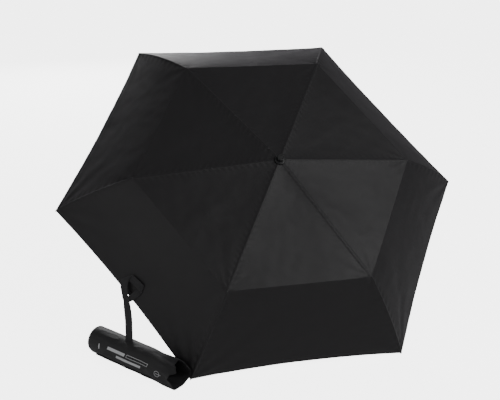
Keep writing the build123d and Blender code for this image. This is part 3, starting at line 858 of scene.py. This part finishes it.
def flangePoint(along, around):
    # the sewn edges stand out as a narrow flat strip
    root = sleevePoint(0.03 + 0.965 * along, 0.002)
    root = root.lerp(axisPoint(root), 0.03)
    out = (-sleeveFar * 0.86 - up * 0.5).normalized()
    width = sleeve["flange"] * (0.97 + 0.03 * math.sin(along * 31)) * smoothStep(along / 0.03)
    point = root + out * width * around
    point.z = max(0.0009 + 0.0004 * (1 + math.sin(along * 27)) * around, point.z)
    return point


flange = makeSwept("sleeve_seam_edge", 120, 6, flangePoint, materials["sleeve"], wrap=False,
                   spot=lambda along, around: (along * 0.22, around * 0.0062))
edgeWall = flange.modifiers.new("cloth", "SOLIDIFY")
edgeWall.thickness = 0.0011
edgeWall.offset = 0
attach(flange, "sleeve")

# round end panel, drawn in a little by its seam
endPanel = {"radius": 0.0268, "dome": 0.0016, "rings": 26, "spokes": 96}


def endPanelPoint(along, around):
    angle = 2 * math.pi * around
    reach = endPanel["radius"] * along
    bulge = endPanel["dome"] * (1 - along * along)
    bulge -= 0.0004 * smoothStep((along - 0.55) / 0.4) * (
        0.5 + 0.5 * math.sin(angle * 22 + 2 * noise.noise(Vector((angle, 0, 0)))))
    bulge += 0.0005 * noise.noise(Vector((math.cos(angle) * along * 2, math.sin(angle) * along * 2, 3)))
    return sleeveCentre - sleeveAlong * bulge + (sleeveFar * math.cos(angle) + up * math.sin(angle)) * reach


panel = makeSwept("sleeve_end_panel", endPanel["rings"], endPanel["spokes"], endPanelPoint,
                  materials["sleeve"],
                  spot=lambda along, around: (0.5 + along * 0.027 * math.cos(2 * math.pi * around),
                                              0.5 + along * 0.027 * math.sin(2 * math.pi * around)))
turnOutward(panel, lambda point: point + sleeveAlong)
panelWall = panel.modifiers.new("cloth", "SOLIDIFY")
panelWall.thickness = 0.0006
panelWall.offset = -1
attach(panel, "sleeve")
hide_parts("sleeve_end")

piping = {"ring": 0.0272, "wire": 0.0015}


def pipingPoint(along, around):
    angle, turn = 2 * math.pi * along, 2 * math.pi * around
    thick = piping["wire"] * (
        1 + 0.05 * math.sin(angle * 30)
        + 0.12 * noise.noise(Vector((3 * math.cos(angle), 3 * math.sin(angle), 1))))
    out = sleeveFar * math.cos(angle) + up * math.sin(angle)
    return (sleeveCentre + out * (piping["ring"] + thick * math.cos(turn))
            + sleeveAlong * thick * math.sin(turn))


def pipingMiddle(point):
    out = (point - sleeveCentre - sleeveAlong * (point - sleeveCentre).dot(sleeveAlong)).normalized()
    return sleeveCentre + out * piping["ring"]


edging = makeSwept("sleeve_edging", 200, 14, pipingPoint, materials["webbing"],
                   spot=lambda along, around: (along * 0.171, around * 0.0094))
turnOutward(edging, pipingMiddle)
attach(edging, "sleeve")
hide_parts("sleeve_piping")
print("sleeve done")


# strap of doubled webbing, standing up from the sleeve and ending in a loop

strap = {
    "place": 0.0960,
    "halfWidth": 0.0079,
    "halfThickness": 0.00115,
    # millimetres from the foot: across, up the panel behind it, out from the panel; then the width's
    # direction in the same three, and the width's share
    "stations": (
        (0, -5, -1, 0.93, 0.05, -0.3, 1.0), (-0.1, 4.6, 0, 0.93, 0.05, -0.3, 1.0),
        (-1.3, 14.9, 0.5, 0.93, 0.07, -0.3, 1.0),
        (-3.5, 27.5, 1, 0.93, 0.08, -0.3, 1.0), (-5.7, 40.1, 1, 0.92, 0.1, -0.3, 1.0),
        (-9.5, 56.1, 1.5, 0.92, 0.16, -0.3, 1.0),
        (-14.2, 71, 1, 0.9, 0.2, -0.3, 0.94), (-17.4, 81.3, 1, 0.9, 0.15, -0.3, 0.8),
        (-20, 87.5, 1.5, 0.9, 0.2, -0.3, 0.82),
        (-22.5, 95.5, 2.5, 0.88, 0.1, 0.15, 0.98), (-25.5, 107.5, 4, 0.95, -0.08, -0.1, 1.0),
        (-27, 118.5, 4, 0.96, -0.05, -0.2, 1.0),
        (-26, 126.5, 3.4, 0.95, 0.1, -0.2, 1.0), (-23.5, 132, 2.4, 0.9, 0.35, -0.1, 1.0),
        (-20, 133.5, 0.2, 0.8, 0.6, 0.0, 1.0),
        (-16.5, 132, -1.8, 0.66, 0.75, 0.0, 1.0), (-8.5, 128.5, -2.4, 0.5, 0.86, 0.05, 1.0),
        (0.5, 123, -2.8, 0.45, 0.88, 0.1, 1.0),
        (8, 118, -3.4, 0.45, 0.88, 0.1, 1.0), (12, 114.5, -4.6, 0.4, 0.9, 0.05, 1.0),
        (12, 111.5, -6.2, 0.2, 0.98, 0.0, 1.0),
        (8, 107.5, -7.2, -0.1, 1.0, 0.0, 1.0), (-0.5, 99.5, -7.0, -0.45, 0.88, 0.0, 0.97),
        (-9.5, 90.5, -5, -0.6, 0.76, 0.2, 0.9),
        (-16.5, 83.5, -2, -0.7, 0.5, 0.5, 0.75), (-19.4, 79, -0.5, -0.75, 0.3, 0.5, 0.5),
    ),
}
drop = math.atan2(outerFall, outerRun * math.cos(math.radians(30)))
panelMiddle = (ribDirections[4] + ribDirections[5]).normalized()
panelOut = (shaftUp * math.cos(drop) + panelMiddle * math.sin(drop)).normalized()
strapAcross = up.cross(panelOut).normalized()
strapUp = panelOut.cross(strapAcross).normalized()
strapFoot = sleeveCentre + sleeveAlong * strap["place"] + up * 0.0287


def strapPoint(along, around):
    stations = strap["stations"]
    x, y, z, wx, wy, wz, share = smoothThrough(stations, along * (len(stations) - 1))
    ahead = smoothThrough(stations, min(len(stations) - 1, along * (len(stations) - 1) + 0.02))
    behind = smoothThrough(stations, max(0, along * (len(stations) - 1) - 0.02))
    run = Vector((ahead[0] - behind[0], ahead[1] - behind[1], ahead[2] - behind[2])).normalized()
    width = Vector((wx, wy, wz)).normalized()
    thick = run.cross(width)
    thick = thick.normalized() if thick.length > 0.05 else Vector((0, 0, 1))
    angle = 2 * math.pi * around
    closing = math.sqrt(max(0.0, 1 - (1 - min(1.0, min(along, 1 - along) / 0.004)) ** 2))
    ex = math.copysign(abs(math.cos(angle)) ** 0.35, math.cos(angle))
    ey = math.copysign(abs(math.sin(angle)) ** 0.55, math.sin(angle))
    ripple = 1 + 0.02 * math.sin(along * 300)
    local = Vector((x, y, z)) * 0.001 + width * (ex * strap["halfWidth"] * share * closing * ripple)
    local += thick * (ey * strap["halfThickness"] * closing * (2 - share))
    return strapFoot + strapAcross * local.x + strapUp * local.y + panelOut * local.z


strapBand = makeSwept("strap_band", 420, 24, strapPoint, materials["webbing"],
                      spot=lambda along, around: (along * 0.30, abs(around - 0.5) * 0.03))
bm = bmesh.new()
bm.from_mesh(strapBand.data)
bmesh.ops.recalc_face_normals(bm, faces=bm.faces)
bm.to_mesh(strapBand.data)
bm.free()
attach(strapBand, "sleeve")
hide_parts("sleeve_strap")
print("strap done")
